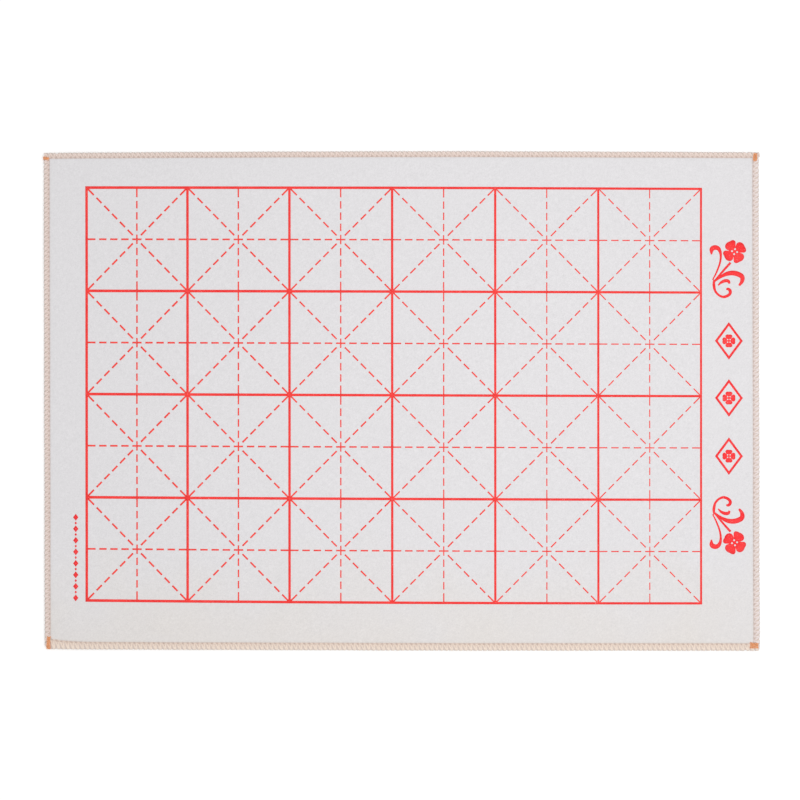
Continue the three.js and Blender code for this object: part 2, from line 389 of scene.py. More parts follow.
@dataclass(frozen=True)
class TwistedThread:
    """Polyester thread of plies twisted together, softly matt.

    The twist gives slanted bands of light and shade along the thread, and painted shade deepens
    its tone along the needle line, where the threads meet.
    """

    name: str
    light: str
    deep: str
    twist: float
    # Tone of the painted shade along the needle line.
    drawn: str = "#C3A99D"
    plies: float = 2.0

    def material(self) -> bpy.types.Material:
        """Build the thread's material: a sine of the turn round it and the length along it.

        Returns:
            The material, which reads the attribute drawn, its share of painted shade.
        """
        material, tree = new_material(self.name)
        along = add_node(tree, "ShaderNodeUVMap", uv_map="UVMap").outputs[0]
        parts = add_node(tree, "ShaderNodeSeparateXYZ", {0: along})
        twist = add_node(tree, "ShaderNodeMath", {
            0: parts.outputs[0], 1: 1 / self.twist, 2: parts.outputs[1]}, operation="MULTIPLY_ADD")
        angle = add_node(tree, "ShaderNodeMath", {
            0: twist.outputs[0], 1: TAU * self.plies}, operation="MULTIPLY")
        wave = add_node(tree, "ShaderNodeMath", {0: angle.outputs[0]}, operation="SINE")
        share = add_node(tree, "ShaderNodeMapRange", {
            "Value": wave.outputs[0], "From Min": -1.0, "From Max": 1.0})
        tint = add_node(tree, "ShaderNodeMix", {
            "Factor": share.outputs[0], "A": linear(self.deep), "B": linear(self.light)},
            data_type="RGBA")
        # Painted shade along the needle line, as much as the attribute drawn gives.
        amount = add_node(tree, "ShaderNodeAttribute", attribute_name="drawn").outputs["Fac"]
        tint = add_node(tree, "ShaderNodeMix", {
            "Factor": amount, "A": tint.outputs["Result"], "B": linear(self.drawn)},
            data_type="RGBA")
        bump = add_node(tree, "ShaderNodeBump", {
            "Height": share.outputs[0], "Strength": 0.6, "Distance": 0.06 * MM})
        shader = add_node(tree, "ShaderNodeBsdfPrincipled", {
            "Base Color": tint.outputs["Result"], "Normal": bump.outputs[0], "Roughness": 0.65,
            "IOR": 1.5, "Specular IOR Level": 0.3, "Sheen Weight": 0.15, "Sheen Roughness": 0.5})
        add_node(tree, "ShaderNodeOutputMaterial", {"Surface": shader.outputs[0]})
        return material


@dataclass(frozen=True)
class PrintingInk:
    """Water-based screen-printing ink, soaked into the felt's top fibres and quite matt.

    Pale fibres show through in specks, and the red is a little uneven along each stroke. Fine
    dashes take a slightly paler red than solid lines and broad shapes.
    """

    name: str
    red: str
    heavy: str
    felt: str = "#E3DFDF"
    speck: float = 0.9
    patch: float = 14.0
    most_bare: float = 0.5

    def material(self) -> bpy.types.Material:
        """Build the ink's material.

        Returns:
            The material.
        """
        material, tree = new_material(self.name)
        place = add_node(tree, "ShaderNodeTexCoord").outputs["Object"]
        patch = add_node(tree, "ShaderNodeTexNoise", {
            "Vector": place, "Scale": 1 / (self.patch * MM), "Detail": 2.0})
        uneven = add_node(tree, "ShaderNodeMapRange", {
            "Value": patch.outputs[0], "From Min": 0.35, "From Max": 0.65})
        red = add_node(tree, "ShaderNodeMix", {
            "Factor": uneven.outputs[0], "A": linear(self.heavy), "B": linear(self.red)},
            data_type="RGBA")
        speck = add_node(tree, "ShaderNodeTexNoise", {
            "Vector": place, "Scale": 1 / (self.speck * MM), "Detail": 3.0, "Roughness": 0.7})
        bare = add_node(tree, "ShaderNodeMapRange", {
            "Value": speck.outputs[0], "From Min": 0.6, "From Max": 0.72, "To Max": self.most_bare})
        tint = add_node(tree, "ShaderNodeMix", {
            "Factor": bare.outputs[0], "A": red.outputs["Result"], "B": linear(self.felt)},
            data_type="RGBA")
        bump = add_node(tree, "ShaderNodeBump", {
            "Height": speck.outputs[0], "Strength": 0.3, "Distance": 0.2 * MM})
        shader = add_node(tree, "ShaderNodeBsdfPrincipled", {
            "Base Color": tint.outputs["Result"], "Normal": bump.outputs[0], "Roughness": 0.9,
            "IOR": 1.5, "Specular IOR Level": 0.2})
        add_node(tree, "ShaderNodeOutputMaterial", {"Surface": shader.outputs[0]})
        return material


@dataclass(frozen=True)
class FeltLay:
    """The felt's size, the section of its hem, and the way it lies on the desk.

    Insets run inwards from the felt's rim, and heights from the middle of its thickness.
    """

    length: float
    width: float
    thickness: float
    needle_insets: dict[Side, float]
    rim_round: float = 0.8
    hem_half: float = 1.0
    pinch_width: float = 10.5
    groove_depth: float = 0.25
    groove_width: float = 0.7
    lean: float = 0.0022
    bow_back: float = 1.35
    bow_front: float = 0.5
    skew_front: float = 1.5
    skew_back: float = 0.6
    wave_height: float = 0.5
    wave_length: tuple[float, float] = (310.0, 230.0)
    wave_phase: tuple[float, float] = (0.7, 1.9)
    hem_lift: float = 0.6
    ripple_height: float = 0.6
    ripple_length: float = 95.0
    ripple_slant: float = 0.6
    ripple_reach: float = 30.0

    @classmethod
    def from_frame(cls) -> "FeltLay":
        """Take the felt's box and the needle lines' places from the frame.

        Returns:
            The lay of a felt with these sizes.
        """
        low, high = in_millimetres(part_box("felt_sheet"))
        insets = {}
        for side in Side:
            node_low, node_high = in_millimetres(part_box(f"needle_thread_{side.word}"))
            axis = 1 if side.is_long else 0
            insets[side] = high[axis] - abs(node_low[axis] + node_high[axis]) / 2
        return cls(*(high - low), needle_insets=insets)

    def run(self, side: Side) -> float:
        """Length of a side."""
        return self.length if side.is_long else self.width

    def rim(self, side: Side) -> float:
        """Distance from the middle of the mat to a side."""
        return (self.width if side.is_long else self.length) / 2

    def half_height(self, inset: np.ndarray, needle_inset: Values) -> np.ndarray:
        """Half the felt's thickness.

        A quarter ellipse rises from the rim to the stitched margin, a cubic then rises to the
        open field, and a bell-shaped groove runs along the needle line.

        Args:
            inset: distance from the rim.
            needle_inset: the needle line's distance from the rim.

        Returns:
            The height of the upper face over the middle.
        """
        edge = np.sqrt(1 - np.clip(1 - inset / self.rim_round, 0, 1) ** 2)
        rise = smooth_rise(self.rim_round, self.pinch_width, inset)
        groove = np.exp(-((inset - needle_inset) / self.groove_width) ** 2)
        swell = self.thickness / 2 - self.hem_half
        return self.hem_half * edge + swell * rise - self.groove_depth * groove

    def settle(self, x: np.ndarray, y: np.ndarray, height: np.ndarray) -> np.ndarray:
        """Move points of a flat, square mat to where they lie.

        The sides lean, the long edges bow out by a cosine less a half and are a little skewed, the
        field rises and falls as a product of two sines, and ripples fade inwards from the rim,
        which the thread under it lifts. No wave goes below the desk.

        Args:
            x: places along the mat.
            y: places across the mat.
            height: heights over the middle of the felt's thickness.

        Returns:
            The points, one row each.
        """
        inset = np.minimum(self.length / 2 - np.abs(x), self.width / 2 - np.abs(y))
        long_wave, cross_wave = (
            np.sin(TAU * place / length + phase)
            for place, length, phase in zip((x, y), self.wave_length, self.wave_phase))
        field = self.wave_height * (1 + long_wave * cross_wave) / 2
        ripple_wave = np.sin(TAU * (x + self.ripple_slant * y) / self.ripple_length)
        ripple = self.hem_lift + self.ripple_height * (1 + ripple_wave) / 2
        lift = field + ripple * np.exp(-np.maximum(inset, 0) / self.ripple_reach)
        arch = np.cos(math.pi * x / self.length) - 0.5
        share = 0.5 + y / self.width
        front = self.bow_front * arch + self.skew_front * x / self.length
        back = self.bow_back * arch + self.skew_back * x / self.length
        bowed = y + share * back - (1 - share) * front
        return np.stack([x - self.lean * y, bowed, self.thickness / 2 + height + lift], axis=-1)


@dataclass(frozen=True)
class HemStyle:
    """Traits of one side's hem: the thread's tones, and how far its ends are from the corners.

    The tones are painted light and shade: the same thread takes its own tone on each side, as the
    light falls there. The gap's shade is the share of painted shade between two loops at the rim,
    its inset is where that is strongest, and the swerve moves the needle line inwards at the
    side's start.
    """

    light: str
    deep: str
    ends: tuple[float, float]
    gap_shade: float
    gap_inset: float = 0.0
    swerve: float = 0.0


# Each side's tones are painted light and shade on one thread: it takes its own tone on each side as
# the light falls there. The gap's shade is painted shade.
HEM_STYLES = {
    Side.FRONT: HemStyle("#FDEEE0", "#F1DFD0", (5.5, 0.2), gap_shade=0.28, gap_inset=1.2, swerve=3.2),
    Side.RIGHT: HemStyle("#F8EEEC", "#ECE0DD", (5.6, 5.6), gap_shade=0.29, gap_inset=0.7),
    Side.BACK: HemStyle("#F8E8E0", "#EBD9D0", (1.2, -0.8), gap_shade=0.4),
    Side.LEFT: HemStyle("#F9E9E3", "#ECDAD3", (5.6, 2.5), gap_shade=0.48),
}


@dataclass
class OverlockHem:
    """Three-thread overlock along one side: a needle thread and two looper threads.

    The upper thread zigzags over the felt and the lower one under it. They catch in each other
    at the rim, and the needle thread holds their inner tips down.
    """

    lay: FeltLay
    side: Side
    thread: bpy.types.Material
    stitch_pitch: float = 4.75
    looper_half: tuple[float, float] = (0.42, 0.85)
    needle_half: tuple[float, float] = (0.45, 0.22)
    sides: int = 6
    loop_steps: int = 10
    needle_steps: int = 6
    tip_past_needle: float = -0.3
    sink: float = 0.34
    rim_sink: float = 0.26
    rim_narrowing: float = 0.45
    tip_rounding: float = 0.5
    slant: float = 0.45
    unevenness: float = 0.3
    tip_waves: tuple[float, float] = (0.37, 0.083)
    slant_wave: float = 0.21
    catch_angle: float = 0.24
    catch_spread: float = 0.8
    puncture_depth: float = 0.8
    dip_power: int = 6
    swerve_reach: float = 14.0
    # Painted shade: at the loops' inner tips, how fast it fades outwards, and on the needle thread.
    tip_shade: float = 0.3
    tip_shade_power: float = 1.5
    needle_thread_shade: float = 0.8

    @property
    def style(self) -> HemStyle:
        """Traits of this side's hem."""
        return HEM_STYLES[self.side]

    @property
    def stitched(self) -> float:
        """Length of the side between its first and last stitch."""
        return self.lay.run(self.side) - sum(self.style.ends)

    @property
    def stitches(self) -> int:
        """Number of stitches along the side."""
        return round(self.stitched / self.stitch_pitch)

    @property
    def pitch(self) -> float:
        """Length of one stitch, so that a whole number fills the side."""
        return self.stitched / self.stitches

    @property
    def start(self) -> float:
        """Place of the first stitch along the side, from the side's middle."""
        return self.style.ends[0] - self.lay.run(self.side) / 2

    def needle_inset(self, along: np.ndarray) -> np.ndarray:
        """Needle line's distance from the rim; a swerve inwards at the start fades exponentially."""
        fade = np.exp(-np.maximum(along - self.start, 0) / self.swerve_reach)
        return self.lay.needle_insets[self.side] + self.style.swerve * fade

    def laid(self, along: np.ndarray, inset: np.ndarray, height: np.ndarray) -> np.ndarray:
        """Lay points given along the side, in from its rim and up, on the settled felt."""
        x, y = self.side.turned(along, inset - self.lay.rim(self.side))
        return self.lay.settle(x, y, height)

    def loops(self, face: Face) -> bpy.types.Object:
        """Build one looper's thread.

        With an angle that grows by a full turn for each stitch, the way outwards from the inner
        tip is half of one minus its cosine. That way follows the hem's section: level over the
        felt, then an arc round the rim to a little past its middle. The place along the side
        grows with the angle and a little of its sine, so that the loops are narrow at the rim, and
        with a sine of the doubled angle, which keeps their tips round. Slow waves make the loops
        uneven, and the whole loop slants.

        Args:
            face: the face that the loops lie on.

        Returns:
            The thread's piece.
        """
        steps = np.arange(-self.loop_steps // 2, self.stitches * self.loop_steps + 1)
        angle = TAU * steps / self.loop_steps
        outward = (1 - np.cos(angle)) / 2
        along = self.start + self.pitch * angle / TAU
        needle_inset = self.needle_inset(along)
        inner_tip = needle_inset + self.tip_past_needle
        seat = self.looper_half[0] - self.sink
        level = inner_tip - self.lay.rim_round
        outer_round = self.lay.rim_round + self.looper_half[0] - self.rim_sink
        last_angle = math.pi / 2 + self.catch_angle
        reach = level + outer_round * last_angle
        quick, slow = (np.sin(wave * angle) for wave in self.tip_waves)
        inner_tip = inner_tip + self.unevenness * quick * slow * (1 - outward)
        way = reach * outward
        bend = np.clip((way - level) / outer_round, 0, None)
        on_top = np.minimum(way, level)
        inset = inner_tip - on_top - outer_round * np.sin(bend)
        top = self.lay.half_height(inset + outer_round * np.sin(bend), needle_inset) + seat
        height = top * np.cos(bend)
        near_rim = np.exp(-(((angle % TAU) - math.pi) / self.catch_spread) ** 2)
        catch = self.looper_half[0] * face.value * np.sin(angle) * near_rim
        inset = inset - catch * np.sin(bend)
        height = height + catch * np.cos(bend)
        along = along + self.rim_narrowing * (np.sin(angle) + self.tip_rounding * np.sin(2 * angle))
        slanted = self.slant * self.pitch + self.unevenness * np.sin(self.slant_wave * angle)
        along = along + slanted * (outward - 0.5)
        path = self.laid(along, inset, face.value * height)
        lift = self.side.direction(np.zeros_like(bend), -np.sin(bend), face.value * np.cos(bend))
        name = f"{face.word}_loops_{self.side.word}"
        piece = thread_tube(name, path, lift, self.looper_half, self.sides, self.thread)
        # Painted shade, strongest at the inner tips by the needle line.
        drawn = self.tip_shade * (1 - outward) ** self.tip_shade_power
        add_attribute(piece, "drawn", np.repeat(drawn, self.sides))
        return register(piece, "thread", f"{face.word}_looper_thread_{self.side.word}")

    def needle_stitches(self) -> bpy.types.Object:
        """Build the needle's thread.

        Between two punctures its height stays level and drops steeply at both ends: one minus
        a high power of the distance from the stitch's middle. Painted shade darkens it most, as the
        square of a sine, half-way between them.

        Returns:
            The thread's piece.
        """
        share = np.arange(self.stitches * self.needle_steps + 1) / self.needle_steps
        along = self.start + self.pitch * (share - self.slant / 2)
        needle_inset = self.needle_inset(along)
        groove = self.lay.half_height(needle_inset, needle_inset)
        crest = 2 * self.looper_half[0] - self.sink + self.needle_half[1] / 2 + self.puncture_depth
        from_middle = np.abs(2 * (share % 1) - 1)
        height = groove - self.puncture_depth + crest * (1 - from_middle ** self.dip_power)
        path = self.laid(along, needle_inset, height)
        lift = self.side.direction(0.0, 1.0, 0.0)
        name = f"needle_stitches_{self.side.word}"
        piece = thread_tube(name, path, lift, self.needle_half, self.sides, self.thread)
        # Painted shade, strongest half-way between punctures.
        drawn = self.needle_thread_shade * np.sin(math.pi * share) ** 2
        add_attribute(piece, "drawn", np.repeat(drawn, self.sides))
        return register(piece, "thread", f"needle_thread_{self.side.word}")

    def build(self) -> list[bpy.types.Object]:
        """Build the side's three threads."""
        return [self.needle_stitches(), self.loops(Face.UPPER), self.loops(Face.LOWER)]


@dataclass(frozen=True)
class LockShape:
    """One corner's lock: first turn from the corner, number of turns, and ends in from the rim."""

    first: float
    turns: int
    outer: float
    inner: float


LOCKS = {Side.FRONT: LockShape(1.9, 6, -0.25, 12.8), Side.RIGHT: LockShape(2.2, 9, 1.2, 9.4),
         Side.BACK: LockShape(1.7, 6, 0.6, 8.2), Side.LEFT: LockShape(3.6, 5, -0.8, 5.5)}


@dataclass
class CornerLock:
    """Tight turns of orange thread that lock one corner, at the start of a side."""

    lay: FeltLay
    side: Side
    thread: bpy.types.Material
    turn_pitch: float = 0.62
    turn_slant: float = 0.5
    raggedness: float = 0.22
    ragged_wave: float = 0.5
    ragged_phase: float = 3.0
    rise: float = 1.0
    half: tuple[float, float] = (0.2, 0.24)
    sides: int = 5
    steps: int = 32
    squareness: float = 0.4
    unevenness: float = 0.35
    wander_waves: tuple[float, float] = (2.37, 0.71)

    def build(self) -> bpy.types.Object:
        """Build the lock.

        Each turn is a superellipse round the felt's section: a power of the cosine inwards, and the
        same power of the sine, times the felt's half height, upwards. The turns move along the
        side, slanted and uneven, and reach in more or less far.

        Returns:
            The lock's piece.
        """
        shape = LOCKS[self.side]
        angle = TAU * np.arange(shape.turns * self.steps + 1) / self.steps
        inward = np.sign(np.cos(angle)) * np.abs(np.cos(angle)) ** self.squareness
        upward = np.sign(np.sin(angle)) * np.abs(np.sin(angle)) ** self.squareness
        quick, slow = self.wander_waves
        wander = self.unevenness * np.sin(quick * angle) * np.sin(slow * angle + shape.inner)
        reach = (shape.inner - shape.outer) / 2
        ragged = np.sin(self.ragged_wave * angle + self.ragged_phase * shape.inner) ** 2
        short = self.raggedness * reach * ragged * (1 + inward) / 2
        inset = shape.inner - reach + reach * inward - short
        on_felt = np.maximum(inset, self.lay.rim_round)
        over = self.lay.half_height(on_felt, self.lay.needle_insets[self.side])
        along = shape.first - self.lay.run(self.side) / 2
        along = along + self.turn_pitch * (angle / TAU + self.turn_slant * inward) + wander
        x, y = self.side.turned(along, inset - self.lay.rim(self.side))
        clear = np.where(upward > 0, self.rise, self.half[0])
        path = self.lay.settle(x, y, (over + clear) * upward)
        lift = self.side.direction(1.0, 0.0, 0.0)
        name = f"corner_lock_turns_{CORNERS[self.side]}"
        piece = thread_tube(name, path, lift, self.half[::-1], self.sides, self.thread)
        return register(piece, "lock_thread", f"corner_lock_{CORNERS[self.side]}")


@dataclass
class FeltSheet:
    """The felt itself, with round corners, a drawn-down hem, needle dimples and a scalloped rim.

    Rows of points lie close together in the hem and a stitch apart in the open field.
    """

    lay: FeltLay
    felt: bpy.types.Material
    hems: dict[Side, OverlockHem]
    corner_radius: float = 1.6
    front_left_radius: float = 4.5
    fine: int = 4
    dimple_depth: float = 0.4
    dimple_width: float = 0.9
    scallop: float = 0.5
    scallop_reach: float = 1.6
    # Painted shade between the loops: width along the side, reach about the needle line and in from
    # the rim, and share at the needle line; then the fade of the fuzz tint.
    gap_width: float = 1.1
    gap_reach: float = 1.5
    gap_depth: float = 2.8
    needle_gap_shade: float = 0.12
    fuzz_and_shade_fade: float = 1.5
    rim_rows: tuple[float, ...] = (
        0, 0.1, 0.4, 0.8, 1.3, 2.2, 3.1, 3.8, 4.4, 5, 5.6, 6.2, 6.9, 7.8, 8.9, 10.2)

    def lines(self, hem: OverlockHem) -> np.ndarray:
        """Space the lattice's lines along one side, `fine` to a stitch between its ends.

        Args:
            hem: the side's stitching.

        Returns:
            The lines' places, from the side's middle.
        """
        run = self.lay.run(hem.side)
        first, last = hem.style.ends
        skip_first, skip_last = (
            math.ceil((self.lay.pinch_width - end) / hem.pitch) for end in (first, last))
        middle = np.linspace(first + skip_first * hem.pitch, run - last - skip_last * hem.pitch,
                             self.fine * (hem.stitches - skip_first - skip_last) + 1)
        rows = np.array(self.rim_rows)
        return np.concatenate([rows, middle, run - rows[::-1]]) - run / 2

    def gap_shade(self, hem: OverlockHem, phase: np.ndarray, inset: np.ndarray,
                  needle_inset: np.ndarray) -> np.ndarray:
        """Press the felt in the gaps between the loops.

        The darkening is painted shade. Each stitch adds two bells: one at the rim that leans as the
        loops do, and a fainter one at the needle line.

        Args:
            hem: the side's stitching.
            phase: places along the side, counted in stitches.
            inset: distances from the rim.
            needle_inset: the needle line's distances from the rim.

        Returns:
            The share of painted shade at each place.
        """
        leaning = phase - hem.slant * np.clip(1 - inset / needle_inset, 0, 1)
        between = phase - hem.slant
        to_wedge, to_gap = ((part - np.round(part)) * hem.pitch for part in (leaning, between))
        from_rim = (inset - hem.style.gap_inset) / self.gap_depth
        from_needle = (inset - needle_inset) / self.gap_reach
        wedge = np.exp(-from_rim**2 - (to_wedge / self.gap_width) ** 2)
        inner = np.exp(-from_needle**2 - (to_gap / self.gap_width) ** 2)
        return hem.style.gap_shade * wedge + self.needle_gap_shade * inner

    def surface(self, x: np.ndarray, y: np.ndarray,
                face: Face) -> tuple[np.ndarray, np.ndarray, np.ndarray]:
        """Place points of one face.

        The inset is the lesser distance to a rim. Near the needle's punctures, which repeat
        with each stitch, bells are taken off the half height. The rim moves in and out as a cosine
        of the place along the side. From the rim to the needle line the felt takes the thread's
        fuzz tint, darkened as painted shade, and painted shade darkens the gaps between the loops.
        A square of points at each corner is drawn to a quarter disc: each coordinate times the
        root of one less half the other's square.

        Args:
            x: the lattice's places along the mat.
            y: the lattice's places across it.
            face: the face that the points lie on.

        Returns:
            The settled points, one row each, the share of painted shade at each, and the share of
            the fuzz tint with its painted shade.
        """
        half_length, half_width = self.lay.length / 2, self.lay.width / 2
        edge_x, edge_y = half_length - np.abs(x), half_width - np.abs(y)
        inset = np.minimum(edge_x, edge_y)
        height = self.lay.thickness / 2 * np.ones_like(x)
        moved_x, moved_y, painted_shade, fuzz_and_shade = x.copy(), y.copy(), np.zeros_like(x), np.zeros_like(x)
        for side, hem in self.hems.items():
            cosine, sine = side.value
            along = cosine * x + sine * y
            depth = sine * x - cosine * y
            to_rim = self.lay.rim(side) - depth
            own = np.isclose(inset, to_rim)
            needle_inset = hem.needle_inset(along)
            phase = (along - hem.start) / hem.pitch + hem.slant / 2
            to_puncture = (phase - np.round(phase)) * hem.pitch
            distance = np.hypot(to_puncture, inset - needle_inset)
            dimple = np.exp(-(distance / self.dimple_width) ** 2)
            stretch = self.lay.half_height(inset, needle_inset) - self.dimple_depth * dimple
            height = np.where(own, stretch, height)
            # Painted shade in the gaps between the loops.
            painted_shade = np.where(own, self.gap_shade(hem, phase, inset, needle_inset), painted_shade)
            # Fuzz tint with painted shade, from the rim to the needle line.
            tint = 1 - smooth_rise(needle_inset, needle_inset + self.fuzz_and_shade_fade, to_rim)
            fuzz_and_shade = np.maximum(fuzz_and_shade, tint)
            pull = self.scallop * np.cos(TAU * phase) * np.exp(-inset / self.scallop_reach)
            pull = np.where(own & (phase > 0) & (phase < hem.stitches), pull, 0)
            shift_x, shift_y = side.turned(np.zeros_like(pull), pull)
            moved_x += shift_x
            moved_y += shift_y
        radius = np.where((x < 0) & (y < 0), self.front_left_radius, self.corner_radius)
        across = np.clip(1 - edge_x / radius, 0, 1)
        up = np.clip(1 - edge_y / radius, 0, 1)
        moved_x -= np.sign(x) * radius * across * (1 - np.sqrt(1 - up**2 / 2))
        moved_y -= np.sign(y) * radius * up * (1 - np.sqrt(1 - across**2 / 2))
        return self.lay.settle(moved_x, moved_y, face.value * height), painted_shade, fuzz_and_shade

    def build(self) -> bpy.types.Object:
        """Build both faces on one lattice and join them at the rim.

        Every cell of the hem is a quad. A cell of the field is `fine` lattice steps wide, and its
        outline walks past each lattice point on its sides that the hem also uses.

        Returns:
            The felt's piece.
        """
        x_lines = self.lines(self.hems[Side.FRONT])
        y_lines = self.lines(self.hems[Side.RIGHT])
        strip = len(self.rim_rows)
        columns, rows = len(x_lines), len(y_lines)
        i, j = np.meshgrid(np.arange(columns), np.arange(rows), indexing="ij")
        in_hem = (np.minimum(i, columns - 1 - i) <= strip) | (np.minimum(j, rows - 1 - j) <= strip)
        in_field = ((i - strip) % self.fine == 0) & ((j - strip) % self.fine == 0)
        used = in_hem | in_field
        count = int(used.sum())
        numbers = np.full(used.shape, -1)
        numbers[used] = np.arange(count)
        x, y = x_lines[i[used]], y_lines[j[used]]
        at_rim = (np.minimum(i, columns - 1 - i) == 0) | (np.minimum(j, rows - 1 - j) == 0)
        below = np.where(at_rim[used], np.arange(count), np.arange(count) + count)

        # Quads of the hem
        hem_cell = (np.minimum(i, columns - 2 - i) < strip) | (np.minimum(j, rows - 2 - j) < strip)
        hem_cell[-1, :] = hem_cell[:, -1] = False
        a, b = i[hem_cell], j[hem_cell]
        corners = (numbers[a, b], numbers[a + 1, b], numbers[a + 1, b + 1], numbers[a, b + 1])
        quads = np.stack(corners, axis=-1)

        # Cells of the field
        step, zero = np.arange(self.fine), np.zeros(self.fine, int)
        walk_i = np.concatenate([step, zero + self.fine, self.fine - step, zero])
        walk_j = np.concatenate([zero, step, zero + self.fine, self.fine - step])
        corner_i = np.arange(strip, columns - 1 - strip, self.fine)
        corner_j = np.arange(strip, rows - 1 - strip, self.fine)
        firsts = np.meshgrid(corner_i, corner_j, indexing="ij")
        first_i, first_j = (part.reshape(-1, 1) for part in firsts)
        cells = numbers[first_i + walk_i, first_j + walk_j]

        # The underside, and the points that a face uses
        under_quads = below[quads[:, ::-1]]
        under_cells = np.where(cells >= 0, below[cells], -1)[:, ::-1]
        placed = [self.surface(x, y, face) for face in Face]
        points, painted_shade, fuzz_and_shade = (np.concatenate(part) for part in zip(*placed))
        polygons = [quads, cells, under_quads, under_cells]
        kept = np.zeros(2 * count, bool)
        for faces in polygons:
            kept[faces[faces >= 0]] = True
        renumbered = np.where(kept, np.cumsum(kept) - 1, -1)
        polygons = [np.where(faces >= 0, renumbered[faces], -1) for faces in polygons]
        piece = make_piece("felt_pad", points[kept], polygons, self.felt)
        # Painted shade between the loops, and the fuzz tint with its painted shade.
        add_attribute(piece, "painted_shade", painted_shade[kept])
        add_attribute(piece, "fuzz_and_shade", fuzz_and_shade[kept])
        return register(piece, "felt", "felt_sheet")


@dataclass(frozen=True)
class PrintLay:
    """How the print sits on the felt: a little tilted, and drawn unevenly along its length."""

    lay: FeltLay
    lean: float = 0.0004
    tilt: float = 0.0029
    draw: float = 13.2
    sag: float = 0.52
    shift: tuple[float, float] = (-0.4, 0.25)
    shrink: tuple[float, float] = (0.0012, 0.0021)
    film: float = 0.1
    sunk: float = 0.04
    weld: float = 0.001

    def grid_box(self) -> tuple[np.ndarray, np.ndarray]:
        """Lowest and highest corner of the printed grid."""
        return in_millimetres(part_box("printed_grid"))

    def place(self, flat: np.ndarray, raised: float = 0.0) -> np.ndarray:
        """Put points of the print on the settled felt.

        The print is shifted, has shrunk a little, and leans less than the felt. The tilt lowers y
        in proportion to x. With the share of the grid's length to the left of a point, the draw
        moves it left by that share times the square of the share to its right, and the sag lowers
        it by four times the product of both shares.

        Args:
            flat: places along the mat and across it, one row each.
            raised: height over the usual film, for strokes that cross others.

        Returns:
            The points, one row each.
        """
        x, y = flat.T
        low, high = self.grid_box()
        share = np.clip((x - low[0]) / (high[0] - low[0]), 0, 1)
        drawn = self.draw * share * (1 - share) ** 2
        sagged = self.sag * 4 * share * (1 - share)
        moved_x = (1 - self.shrink[0]) * x + self.shift[0] - drawn + (self.lay.lean - self.lean) * y
        moved_y = (1 - self.shrink[1]) * y + self.shift[1] - sagged - self.tilt * x
        edge_x = self.lay.length / 2 - np.abs(moved_x)
        edge_y = self.lay.width / 2 - np.abs(moved_y)
        needle_inset = self.lay.needle_insets[Side.RIGHT]
        height = self.lay.half_height(np.minimum(edge_x, edge_y), needle_inset)
        return self.lay.settle(moved_x, moved_y, height - self.sunk + raised)

    def aim(self, x: Values, y: Values) -> np.ndarray:
        """Point of the print, right of its grid or left of it, that lands on a place of the mat."""
        return np.array([(1 + self.shrink[0]) * x - self.shift[0] + self.lean * y,
                         (1 + self.shrink[1]) * y - self.shift[1] + self.tilt * x])

    def film_piece(self, name: str, points: np.ndarray, polygons: Sequence[np.ndarray],
                   ink: bpy.types.Material) -> bpy.types.Object:
        """Turn a printed outline, laid on the felt, into a closed film of ink.

        Args:
            name: the piece's name.
            points: the laid points.
            polygons: faces that look up.
            ink: the film's finish.

        Returns:
            The piece, welded where its parts meet and thickened upwards.
        """
        piece = make_piece(name, points, polygons, ink)
        work = bmesh.new()
        work.from_mesh(piece.data)
        bmesh.ops.remove_doubles(work, verts=work.verts, dist=self.weld * MM)
        work.to_mesh(piece.data)
        work.free()
        thicken = piece.modifiers.new("film", "SOLIDIFY")
        thicken.thickness = self.film * MM
        thicken.offset = 1.0
        return piece


